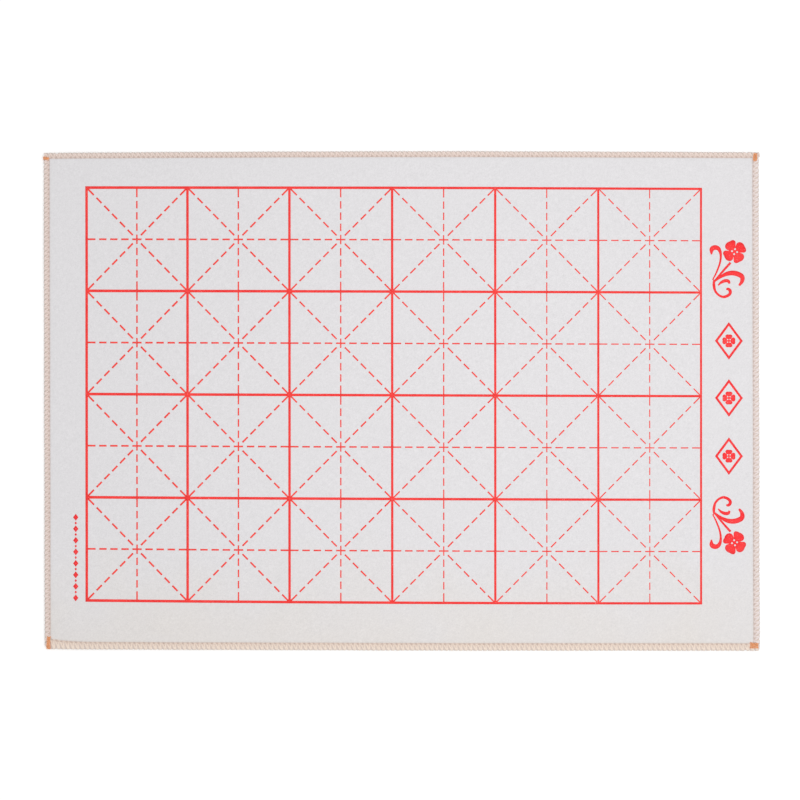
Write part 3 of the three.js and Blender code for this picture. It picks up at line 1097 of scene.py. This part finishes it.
@dataclass
class PracticeGrid:
    """Squares with solid sides and eight dashed guide lines from each middle."""

    lay: PrintLay
    ink: bpy.types.Material
    dash_ink: bpy.types.Material
    columns: int = 6
    rows: int = 4
    line: float = 2.3
    upright_spread: float = -0.02
    level_spread: float = 0.15
    fade: float = 0.28
    taper: float = 0.22
    level_line: float = 1.4
    upright_line: float = 1.21
    slant_line: float = 1.42
    dash_fade: float = 0.24
    line_steps: int = 20
    centre_dash: float = 9.2
    dash: float = 7.3
    gap: float = 3.7
    slant_hollow: float = 5.7
    slant_dash: float = 7.3
    slant_gap: float = 3.75
    dash_steps: int = 3

    def solid_lines(self) -> bpy.types.Object:
        """Build the lattice of solid lines.

        Each way, the lattice's edges alternate between a line and the steps across a cell. A
        patch is inked where it lies on a line along x or along y. The ink has spread a little
        beyond the screen's lines, less and less from the left to the right: upright lines differ
        in width, and level ones taper.

        Returns:
            The lines' piece.
        """
        low, high = self.lay.grid_box()

        def edges(axis: int, count: int, spread: float,
                  fade: float) -> tuple[np.ndarray, np.ndarray]:
            """Find the edges of the patches along one axis.

            Args:
                axis: 0 for x or 1 for y.
                count: number of cells.
                spread: how much wider than the screen's a line is in the middle.
                fade: how much more than that at the start, and less at the end.

            Returns:
                The edges, and which patches between them lie on a line.
            """
            middles = np.linspace(low[axis] + self.line / 2, high[axis] - self.line / 2, count + 1)
            half = (self.line + spread + fade * np.linspace(1, -1, count + 1)) / 2
            between = np.linspace(middles[:-1] + half[:-1], middles[1:] - half[1:], self.line_steps)
            first, last = middles[0] - half[0], middles[-1] + half[-1]
            places = np.concatenate([[first], between.T.ravel(), [last]])
            return places, np.arange(len(places) - 1) % self.line_steps == 0

        x, x_line = edges(0, self.columns, self.upright_spread, self.fade)
        y, y_line = edges(1, self.rows, self.level_spread, 0.0)
        outward = np.append(0, y_line.astype(int)) - np.append(y_line.astype(int), 0)
        flat_x, flat_y = np.meshgrid(x, y, indexing="ij")
        flat_y = flat_y - self.taper / 2 * outward * flat_x / high[0]
        points = self.lay.place(np.column_stack([flat_x.ravel(), flat_y.ravel()]))
        inked = (x_line[:, None] | y_line[None, :]).ravel()
        quads = grid_quads(len(x), len(y))[inked][:, ::-1]
        used = np.unique(quads)
        renumbered = np.searchsorted(used, quads)
        piece = self.lay.film_piece("grid_lines", points[used], [renumbered], self.ink)
        return register(piece, "ink", "printed_grid")

    def half_dashes(self, half: float, hollow: float, dash: float, gap: float) -> np.ndarray:
        """Starts and ends of the dashes from a cell's middle to its side or corner.

        Args:
            half: distance from the middle to the solid line.
            hollow: distance from the middle to the first whole dash.
            dash: length of a dash.
            gap: length of a gap.

        Returns:
            One row for each dash; the last dash runs into the solid line.
        """
        count = int((half - hollow) // (dash + gap))
        starts = hollow + (dash + gap) * np.arange(count + 1)
        return np.stack([starts, np.append(starts[:-1] + dash, half)], axis=-1)

    def guide_dashes(self) -> bpy.types.Object:
        """Build all dashes at once: a grid of steps along each dash and three points across it.

        A slanting dash that ends in a corner of solid lines ends in a right-angled point. The
        dashes are widest at the left, where the ink is heaviest.

        Returns:
            The dashes' piece.
        """
        low, high = self.lay.grid_box()
        cell = (high - low - self.line)[:2] / (self.columns, self.rows)
        open_half = (cell - self.line) / 2
        straights = (((1, 0), open_half[0], self.level_line, 0.0),
                     ((0, 1), open_half[1], self.upright_line, self.level_line / 2))
        rays = []
        for direction, half, line, first in straights:
            outer = self.half_dashes(half, self.centre_dash / 2 + self.gap, self.dash, self.gap)
            spans = np.vstack([[first, self.centre_dash / 2], outer])
            rays += [(sign * np.array(direction, float), spans, line, False) for sign in (1, -1)]
        slant_half = float(np.hypot(*open_half))
        slants = self.half_dashes(slant_half, self.slant_hollow, self.slant_dash, self.slant_gap)
        for sign_x in (1, -1):
            for sign_y in (1, -1):
                direction = np.array([sign_x, sign_y]) * open_half / slant_half
                rays.append((direction, slants, self.slant_line, True))
        along = np.linspace(0, 1, self.dash_steps + 1)
        ways, widths = [], []
        for direction, spans, line, pointed in rays:
            across = np.array([-1.0, 0.0, 1.0]) * line / 2
            starts, ends = spans[:, :1, None], spans[:, 1:, None]
            cut = np.zeros((len(spans), 1, 3))
            cut[-1] = np.abs(across) if pointed else 0
            way = starts + along[None, :, None] * (ends - cut - starts)
            normal = np.array([-direction[1], direction[0]])
            ways.append(way[..., None] * direction)
            widths.append(np.broadcast_to(across[:, None] * normal, ways[-1].shape))
        centres = [low[axis] + self.line / 2 + cell[axis] * (np.arange(count) + 0.5)
                   for axis, count in ((0, self.columns), (1, self.rows))]
        middles = np.stack(np.meshgrid(*centres, indexing="ij"), axis=-1).reshape(-1, 1, 1, 1, 2)
        weight = 1 - self.dash_fade * middles[..., :1] / high[0]
        places = (middles + np.concatenate(ways) + weight * np.concatenate(widths)).reshape(-1, 2)
        per_dash = (self.dash_steps + 1) * 3
        base = per_dash * np.arange(len(places) // per_dash)[:, None, None]
        quads = (grid_quads(self.dash_steps + 1, 3)[None, :, ::-1] + base).reshape(-1, 4)
        points = self.lay.place(places)
        return register(self.lay.film_piece("guide_dashes", points, [quads], self.dash_ink), "ink")

    def build(self) -> list[bpy.types.Object]:
        """Build the solid lines and the dashes."""
        return [self.solid_lines(), self.guide_dashes()]


@dataclass(frozen=True)
class Blossom:
    """A flat blossom of leaning petals, with bare dots in its clefts."""

    radius: float = 11.6
    cleft: float = 5.2
    notch: float = 0.6
    turn: float = math.radians(35)
    lean: float = 0.22
    petals: int = 4
    petal_power: int = 4
    notch_power: int = 4
    dot_circle: float = 2.5
    dot_radius: float = 0.95
    petal_steps: int = 24
    spoke_steps: int = 6

    def edge(self, angle: np.ndarray) -> np.ndarray:
        """Find the distance from the middle to the petals' edge.

        From the crest of a petal to the clefts beside it the edge falls as a superellipse, and a
        small notch is taken off at the crest, which is off the petal's middle by about the lean.

        Args:
            angle: directions from the middle.

        Returns:
            The distance in each direction.
        """
        across = (((angle - self.turn) * self.petals / TAU + 0.5) % 1 - 0.5) * 2
        share = np.abs(across + self.lean * (1 - across**2))
        bulge = np.sqrt(np.maximum(1 - share**self.petal_power, 0))
        notch = self.notch * (1 - share) ** self.notch_power
        return self.cleft + (self.radius - self.cleft) * bulge - notch

    def surface(self) -> tuple[np.ndarray, np.ndarray]:
        """Fill the blossom.

        Each cleft's sector runs from one petal's middle to the next. Its outline goes from the
        blossom's middle out along a spoke, along the petals' edge and back, and each of its points
        is joined straight to the bare dot's edge.

        Returns:
            The points in the blossom's own plane, and quads.
        """
        half = TAU / self.petals / 2
        spoke = np.linspace(0, 1, self.spoke_steps, endpoint=False)
        sweep = np.linspace(-half, half, self.petal_steps + 1)
        points, quads = [], []
        for petal in range(self.petals):
            middle = self.turn + (2 * petal + 1) * half
            side = np.full_like(spoke, half)
            angle = middle + np.concatenate([-side, sweep, side])
            size = np.concatenate([spoke, np.ones_like(sweep), spoke[::-1]]) * self.edge(angle)
            outline = size[:, None] * np.stack([np.cos(angle), np.sin(angle)], axis=-1)
            dot = self.dot_circle * np.array([math.cos(middle), math.sin(middle)])
            away = outline - dot
            inner = dot + self.dot_radius * away / np.linalg.norm(away, axis=1, keepdims=True)
            ring = np.stack([inner, (inner + outline) / 2, outline])
            quads.append(grid_quads(3, len(outline))[:, ::-1] + 3 * petal * len(outline))
            points.append(ring.reshape(-1, 2))
        return np.concatenate(points), np.concatenate(quads)


# Points x, y and width of each stroke, in millimetres from the scroll's root.
SCROLL_STROKES = (
    ((-1, 0.8, 0.9), (2.8, 8.4, 1.4), (6.2, 18, 1.6), (6.8, 26, 2.2), (4.8, 31.2, 3.7),
     (1.1, 32.5, 4.5), (-1.9, 30.6, 4.3), (-2.2, 25.7, 1)),
    ((0.2, -1, 1.3), (8.5, 8.8, 1.8), (16.5, 17.8, 2.1)),
    ((0.2, -1.2, 1.1), (7.2, 4.1, 2.6), (14.2, 7.2, 4.1), (21, 7.4, 4.7), (27.2, 4.6, 4.6),
     (27.8, 0, 3.6), (24.8, -4.6, 1.7)),
    ((4.3, -4.5, 0.9), (7.4, -1.6, 2.3), (11.2, 0, 3), (14.3, -0.4, 2.9), (15.5, -2.8, 1.5)),
    ((0.4, 1, 1.5), (0.2, -4.4, 2.5), (1.6, -10.2, 2), (5.4, -14.3, 1.9), (10, -15.8, 2.3),
     (14.9, -13.7, 2.6), (16.3, -10.5, 2.8), (14.4, -8.1, 2.5), (12.3, -8.4, 1.4)),
)


@dataclass
class FlowerScroll:
    """One flower scroll: tapering strokes from a root, and a blossom beyond them."""

    lay: PrintLay
    ink: bpy.types.Material
    word: str
    mirror: int
    spread: float = 0.2
    stroke_steps: int = 6
    stroke_step_up: float = 0.012
    blossom_offset: tuple[float, float] = (20.4, 28.6)

    def blossom_middle(self) -> np.ndarray:
        """Middle of the blossom, from its solid."""
        low, high = in_millimetres(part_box(f"printed_blossom_{self.word}"))
        return self.lay.aim(*((low + high) / 2)[:2])

    def stroke(self, controls: Sequence[tuple[float, float, float]]) -> np.ndarray:
        """Carry a changing width, and the ink's spread, along a Catmull-Rom curve.

        Args:
            controls: x, y and width at each point that the curve passes.

        Returns:
            Rows of three points across the stroke.
        """
        knots = np.array(controls, float)
        knots = np.vstack([2 * knots[0] - knots[1], knots, 2 * knots[-1] - knots[-2]])
        t = np.linspace(0, 1, self.stroke_steps, endpoint=False)[None, :, None]
        before, start, end, after = (knots[k:len(knots) - 3 + k, None] for k in range(4))
        curve = (start + (end - before) / 2 * t
                 + (before - 2.5 * start + 2 * end - after / 2) * t**2
                 + (1.5 * (start - end) + (after - before) / 2) * t**3)
        curve = np.vstack([curve.reshape(-1, 3), knots[-2]])
        ahead = np.gradient(curve[:, :2], axis=0)
        ahead /= np.linalg.norm(ahead, axis=1, keepdims=True)
        normal = np.stack([-ahead[:, 1], ahead[:, 0]], axis=-1)
        width = (curve[:, 2] + self.spread)[:, None, None]
        offset = np.array([-0.5, 0.0, 0.5])[None, :, None] * width
        return curve[:, None, :2] + offset * normal[:, None]

    def scroll(self) -> bpy.types.Object:
        """Build the strokes, each a hair higher than the one before, so that none coincide.

        Returns:
            The strokes' piece.
        """
        root = self.blossom_middle() - np.array(self.blossom_offset) * (1, self.mirror)
        points, quads, count = [], [], 0
        for number, controls in enumerate(SCROLL_STROKES):
            strip = self.stroke(controls)
            flat = strip.reshape(-1, 2) * (1, self.mirror) + root
            points.append(self.lay.place(flat, raised=number * self.stroke_step_up))
            faces = grid_quads(len(strip), 3) + count
            quads.append(faces[:, ::-1] if self.mirror > 0 else faces)
            count += len(flat)
        piece = self.lay.film_piece(f"scroll_{self.word}", np.concatenate(points), quads, self.ink)
        return register(piece, "ink", f"printed_scroll_{self.word}")

    def blossom(self) -> bpy.types.Object:
        """Build the blossom in the middle of its solid.

        Returns:
            The blossom's piece.
        """
        flat, quads = Blossom().surface()
        quads = quads if self.mirror > 0 else quads[:, ::-1]
        flat = flat * (1, self.mirror) + self.blossom_middle()
        points = self.lay.place(flat)
        piece = self.lay.film_piece(f"blossom_{self.word}", points, [quads], self.ink)
        return register(piece, "ink", f"printed_blossom_{self.word}")

    def build(self) -> list[bpy.types.Object]:
        """Build the strokes and the blossom."""
        return [self.scroll(), self.blossom()]


@dataclass
class StripOrnaments:
    """Plain ornaments of the margins: blossoms in lozenges on the right, marks on the left."""

    lay: PrintLay
    ink: bpy.types.Material
    lozenge_x: float = 319.8
    lozenge_y: tuple[float, ...] = (59.2, 3.4, -53.4)
    lozenge_size: tuple[float, float] = (13.6, 18.4)
    lozenge_line: float = 2.2
    lozenge_blossom: Blossom = Blossom(radius=6.6, cleft=3.2, notch=0.5, turn=0.0, lean=0.0,
                                       dot_circle=1.8, dot_radius=0.7)
    mark_x: float = -318.6
    mark_span: tuple[float, float] = (-114.0, -193.0)
    mark_count: int = 15
    mark_size: tuple[float, float] = (2.6, 3.4)
    mark_small: float = 0.45

    @staticmethod
    def corners(size: tuple[float, float]) -> np.ndarray:
        """Corners of a lozenge that reaches its size from the middle along x and along y."""
        turn = TAU * np.arange(4) / 4
        return np.stack([np.cos(turn), np.sin(turn)], axis=-1) * size

    def lozenges(self) -> bpy.types.Object:
        """Build the lozenges: for each, four corners in a ring of two rows, and a blossom.

        Returns:
            The lozenges' piece.
        """
        outer = self.corners(self.lozenge_size)
        slope = self.lozenge_line * math.hypot(*self.lozenge_size) / math.prod(self.lozenge_size)
        ring = np.concatenate([outer, outer * (1 - slope)])
        quads = grid_quads(2, 4, wrap=True)
        petals, petal_quads = self.lozenge_blossom.surface()
        points, faces, count = [], [], 0
        for y in self.lozenge_y:
            for flat, own in ((ring, quads), (petals, petal_quads)):
                points.append(flat + self.lay.aim(self.lozenge_x, y))
                faces.append(own + count)
                count += len(flat)
        laid = self.lay.place(np.concatenate(points))
        return register(self.lay.film_piece("lozenge_blossoms", laid, faces, self.ink), "ink")

    def marks(self) -> bpy.types.Object:
        """Build a row of filled lozenges, every second one smaller.

        Returns:
            The marks' piece.
        """
        number = np.arange(self.mark_count)
        places = np.linspace(*self.mark_span, self.mark_count)
        scale = np.where(number % 2 == 0, 1.0, self.mark_small)
        flat = scale[:, None, None] * self.corners(self.mark_size)
        flat = flat + self.lay.aim(np.full_like(places, self.mark_x), places).T[:, None]
        flat = flat.reshape(-1, 2)
        quads = np.arange(len(flat)).reshape(-1, 4)
        laid = self.lay.place(flat)
        return register(self.lay.film_piece("margin_marks", laid, [quads], self.ink), "ink")

    def build(self) -> list[bpy.types.Object]:
        """Build the lozenges and the marks."""
        return [self.lozenges(), self.marks()]


@dataclass
class Studio:
    """White floor, soft light and a camera straight above, framed as the photograph is."""

    picture: int = 800
    mat_middle: tuple[float, float] = (401.7, 401.1)
    mm_per_pixel: float = 0.9777
    lens: float = 85.0
    sensor: float = 36.0
    floor_size: float = 12000.0
    floor_gap: float = 0.05
    floor_tone: str = "#E8E8E8"
    floor_glow: float = 0.3
    white: str = "#FFFFFF"
    ambient: float = 0.70
    sun_strength: float = 0.37
    sun_tilt: tuple[float, float] = (4.0, 9.0)
    sun_angle: float = 60.0
    softbox_power: float = 2.7
    softbox_size: float = 700.0
    softbox_place: tuple[float, float, float] = (250.0, 0.0, 1000.0)

    def camera(self, plane: float) -> None:
        """Hang the camera over the mat so that the printed face fills the measured pixels.

        Args:
            plane: height of the printed face.
        """
        data = bpy.data.cameras.new("camera")
        data.lens = self.lens
        data.sensor_width = self.sensor
        camera = bpy.data.objects.new("camera", data)
        bpy.context.scene.collection.objects.link(camera)
        distance = self.picture * self.mm_per_pixel * self.lens / self.sensor
        x = (self.picture / 2 - self.mat_middle[0]) * self.mm_per_pixel
        y = (self.mat_middle[1] - self.picture / 2) * self.mm_per_pixel
        camera.location = (x * MM, y * MM, (distance + plane) * MM)
        bpy.context.scene.camera = camera

    def floor(self) -> None:
        """Lay the floor. To the camera it is lit to white, but it keeps the mat's shadow."""
        material, tree = new_material("white_floor")
        path = add_node(tree, "ShaderNodeLightPath")
        seen = add_node(tree, "ShaderNodeMath", {
            0: path.outputs["Is Camera Ray"], 1: path.outputs["Is Glossy Ray"]}, operation="ADD")
        shown = add_node(tree, "ShaderNodeMath", {
            0: seen.outputs[0], 1: path.outputs["Is Transmission Ray"]}, operation="ADD")
        glow = add_node(tree, "ShaderNodeMath", {
            0: shown.outputs[0], 1: self.floor_glow}, operation="MULTIPLY")
        matt = add_node(tree, "ShaderNodeBsdfDiffuse", {"Color": linear(self.floor_tone)})
        light = add_node(tree, "ShaderNodeEmission", {
            "Color": linear(self.white), "Strength": glow.outputs[0]})
        both = add_node(tree, "ShaderNodeAddShader", {0: matt.outputs[0], 1: light.outputs[0]})
        add_node(tree, "ShaderNodeOutputMaterial", {"Surface": both.outputs[0]})
        half = self.floor_size / 2
        corners = np.array([[-half, -half], [half, -half], [half, half], [-half, half]])
        points = np.column_stack([corners, np.full(4, -self.floor_gap)])
        make_piece("floor", points, [np.arange(4)[None]], material)

    def world(self) -> None:
        """Light the scene evenly, and show white to the camera."""
        world = bpy.data.worlds.new("studio")
        world.use_nodes = True
        tree = world.node_tree
        tree.nodes.clear()
        path = add_node(tree, "ShaderNodeLightPath")
        strength = add_node(tree, "ShaderNodeMapRange", {
            "Value": path.outputs["Is Camera Ray"], "To Min": self.ambient, "To Max": 1.0})
        back = add_node(tree, "ShaderNodeBackground", {
            "Color": linear(self.white), "Strength": strength.outputs[0]})
        add_node(tree, "ShaderNodeOutputWorld", {"Surface": back.outputs[0]})
        bpy.context.scene.world = world

    def lamps(self) -> None:
        """Hang a broad sun over the mat and a softbox over its right half."""
        sun = bpy.data.lights.new("sun", "SUN")
        sun.energy = self.sun_strength
        sun.angle = math.radians(self.sun_angle)
        sun_object = bpy.data.objects.new("sun", sun)
        tilt_x, tilt_y = self.sun_tilt
        sun_object.rotation_euler = (math.radians(tilt_x), math.radians(tilt_y), 0)
        box = bpy.data.lights.new("softbox", "AREA")
        box.energy = self.softbox_power
        box.size = self.softbox_size * MM
        box_object = bpy.data.objects.new("softbox", box)
        box_object.location = [place * MM for place in self.softbox_place]
        for lamp in (sun_object, box_object):
            bpy.context.scene.collection.objects.link(lamp)

    def build(self, plane: float) -> None:
        """Set up the view, the floor, the world and the lamps.

        Args:
            plane: height of the printed face.
        """
        bpy.context.scene.view_settings.view_transform = "Standard"
        self.camera(plane)
        self.floor()
        self.world()
        self.lamps()


def main() -> None:
    """Build the mat and its studio."""
    logging.basicConfig(level=logging.INFO, format="%(name)s: %(message)s")
    lay = FeltLay.from_frame()
    felt = NeedledFelt().material()
    ink = PrintingInk("screen_printing_ink", red="#FF4446", heavy="#FA3237").material()
    line_ink = PrintingInk("screen_printing_ink_lines", red="#FF4541", heavy="#F63B39").material()
    dash_ink = PrintingInk("screen_printing_ink_dashes", red="#FF544B", heavy="#FA4841").material()
    threads = {}
    # One copy of the thread for each side, with that side's painted light and shade in its tones.
    for side, style in HEM_STYLES.items():
        name = f"textured_polyester_thread_{side.word}"
        threads[side] = TwistedThread(name, style.light, style.deep, twist=2.2).material()
    lock_thread = TwistedThread(
        "orange_polyester_thread", light="#FFB478", deep="#F0924F", twist=1.3).material()
    Studio().build(lay.thickness)
    hems = {side: OverlockHem(lay, side, threads[side]) for side in Side}
    pad = FeltSheet(lay, felt, hems).build()
    stitching = [piece for hem in hems.values() for piece in hem.build()]
    stitching += [CornerLock(lay, side, lock_thread).build() for side in Side]
    print_lay = PrintLay(lay)
    printed = PracticeGrid(print_lay, line_ink, dash_ink).build()
    for word, mirror in (("back", 1), ("front", -1)):
        printed += FlowerScroll(print_lay, ink, word, mirror).build()
    printed += StripOrnaments(print_lay, ink).build()


if __name__ == "__main__":
    main()
